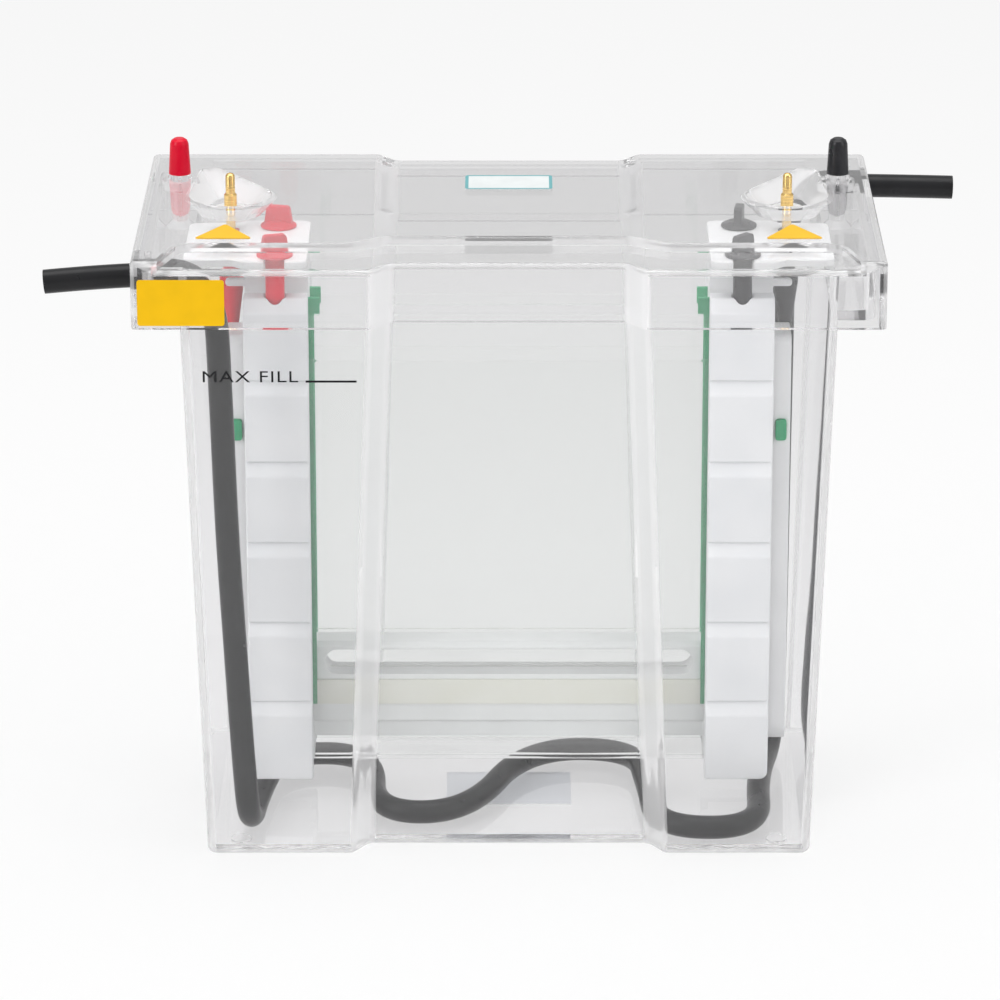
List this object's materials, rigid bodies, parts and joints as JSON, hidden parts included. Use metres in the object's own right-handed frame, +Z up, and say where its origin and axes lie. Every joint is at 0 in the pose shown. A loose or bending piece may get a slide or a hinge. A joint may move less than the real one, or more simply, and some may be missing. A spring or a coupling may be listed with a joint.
{
  "type": "vertical gel electrophoresis tank",
  "caption": "Clear vertical gel tank with lift-off lid, hanging module with plates held by wave clamps and turning knobs, inlet pins and a cooling hose.",
  "frame": {"origin": "middle of the standing surface under the tank", "axes": "+X along the width, to the side of the black post, -Y to the front, +Z up"},
  "size_m": [0.3823, 0.1632, 0.2825],
  "materials": {
    "clear_plastic": "clear moulded plastic, polished",
    "plate_glass": "clear float glass, polished",
    "white_plastic": "white moulded plastic, satin",
    "red_plastic": "red moulded plastic, gloss",
    "black_plastic": "black moulded plastic, gloss",
    "gilt_metal": "gilt, polished",
    "electrode_metal": "bright drawn wire",
    "green_rubber": "green silicone, satin",
    "cream_rubber": "cream silicone foam, satin",
    "spacer_plastic": "translucent white plastic",
    "hose_rubber": "black hose, satin",
    "yellow_label": "bare yellow plate",
    "framed_label": "bare white plate with a blue-green frame"
  },
  "bodies": {
    "base": {"tank": "clear_plastic", "post_cap_red": "red_plastic", "post_cap_black": "black_plastic", "socket_red": "red_plastic", "socket_black": "black_plastic", "module_core": "white_plastic", "upper_electrode_wire": "electrode_metal", "lower_electrode_wire": "electrode_metal", "cooling_hose": "hose_rubber", "base_seal_front": "cream_rubber", "base_seal_back": "cream_rubber", "drain_plug_left": "green_rubber", "drain_plug_right": "green_rubber", "outer_plate_front": "plate_glass", "notched_plate_front": "plate_glass", "side_seal_front_left": "green_rubber", "spacer_front_left": "spacer_plastic", "side_seal_front_right": "green_rubber", "spacer_front_right": "spacer_plastic", "outer_plate_back": "plate_glass", "notched_plate_back": "plate_glass", "side_seal_back_left": "green_rubber", "spacer_back_left": "spacer_plastic", "side_seal_back_right": "green_rubber", "spacer_back_right": "spacer_plastic"},
    "lid": {"lid": "clear_plastic", "inlet_pin_left": "gilt_metal", "inlet_pin_right": "gilt_metal", "pin_nut_left": "white_plastic", "pin_nut_right": "white_plastic", "front_label": "yellow_label", "top_label_left": "yellow_label", "top_label_right": "yellow_label", "back_label": "framed_label"},
    "clamp_front_left": {"clamp_front_left": "white_plastic"},
    "knob_front_left": {"knob_front_left": "red_plastic"},
    "clamp_front_right": {"clamp_front_right": "white_plastic"},
    "knob_front_right": {"knob_front_right": "black_plastic"},
    "clamp_back_left": {"clamp_back_left": "white_plastic"},
    "knob_back_left": {"knob_back_left": "red_plastic"},
    "clamp_back_right": {"clamp_back_right": "white_plastic"},
    "knob_back_right": {"knob_back_right": "black_plastic"}
  },
  "joints": [
    {"name": "lid_lift", "type": "slide", "parent": "base", "child": "lid", "axis": [0, 0, 1], "range_m": [0, 0.05]},
    {"name": "knob_front_left_turn", "type": "hinge", "parent": "base", "child": "knob_front_left", "pos_m": [-0.0975, -0.02145, 0.25], "axis": [0, 0, 1], "range_deg": [0, 90]},
    {"name": "clamp_front_left_slide", "type": "slide", "parent": "base", "child": "clamp_front_left", "axis": [0, -0.2425, 0.9701], "range_m": [0, 0.00495]},
    {"name": "knob_front_right_turn", "type": "hinge", "parent": "base", "child": "knob_front_right", "pos_m": [0.0975, -0.02145, 0.25], "axis": [0, 0, 1], "range_deg": [0, 90]},
    {"name": "clamp_front_right_slide", "type": "slide", "parent": "base", "child": "clamp_front_right", "axis": [0, -0.2425, 0.9701], "range_m": [0, 0.00495]},
    {"name": "knob_back_left_turn", "type": "hinge", "parent": "base", "child": "knob_back_left", "pos_m": [-0.0975, 0.02145, 0.25], "axis": [0, 0, 1], "range_deg": [0, 90]},
    {"name": "clamp_back_left_slide", "type": "slide", "parent": "base", "child": "clamp_back_left", "axis": [0, 0.2425, 0.9701], "range_m": [0, 0.00495]},
    {"name": "knob_back_right_turn", "type": "hinge", "parent": "base", "child": "knob_back_right", "pos_m": [0.0975, 0.02145, 0.25], "axis": [0, 0, 1], "range_deg": [0, 90]},
    {"name": "clamp_back_right_slide", "type": "slide", "parent": "base", "child": "clamp_back_right", "axis": [0, 0.2425, 0.9701], "range_m": [0, 0.00495]}
  ],
  "couplings": [
    {"joint": "knob_front_left_turn", "follows": "clamp_front_left_slide", "rad_per_m": 317.46},
    {"joint": "knob_front_right_turn", "follows": "clamp_front_right_slide", "rad_per_m": 317.46},
    {"joint": "knob_back_left_turn", "follows": "clamp_back_left_slide", "rad_per_m": 317.46},
    {"joint": "knob_back_right_turn", "follows": "clamp_back_right_slide", "rad_per_m": 317.46}
  ]
}
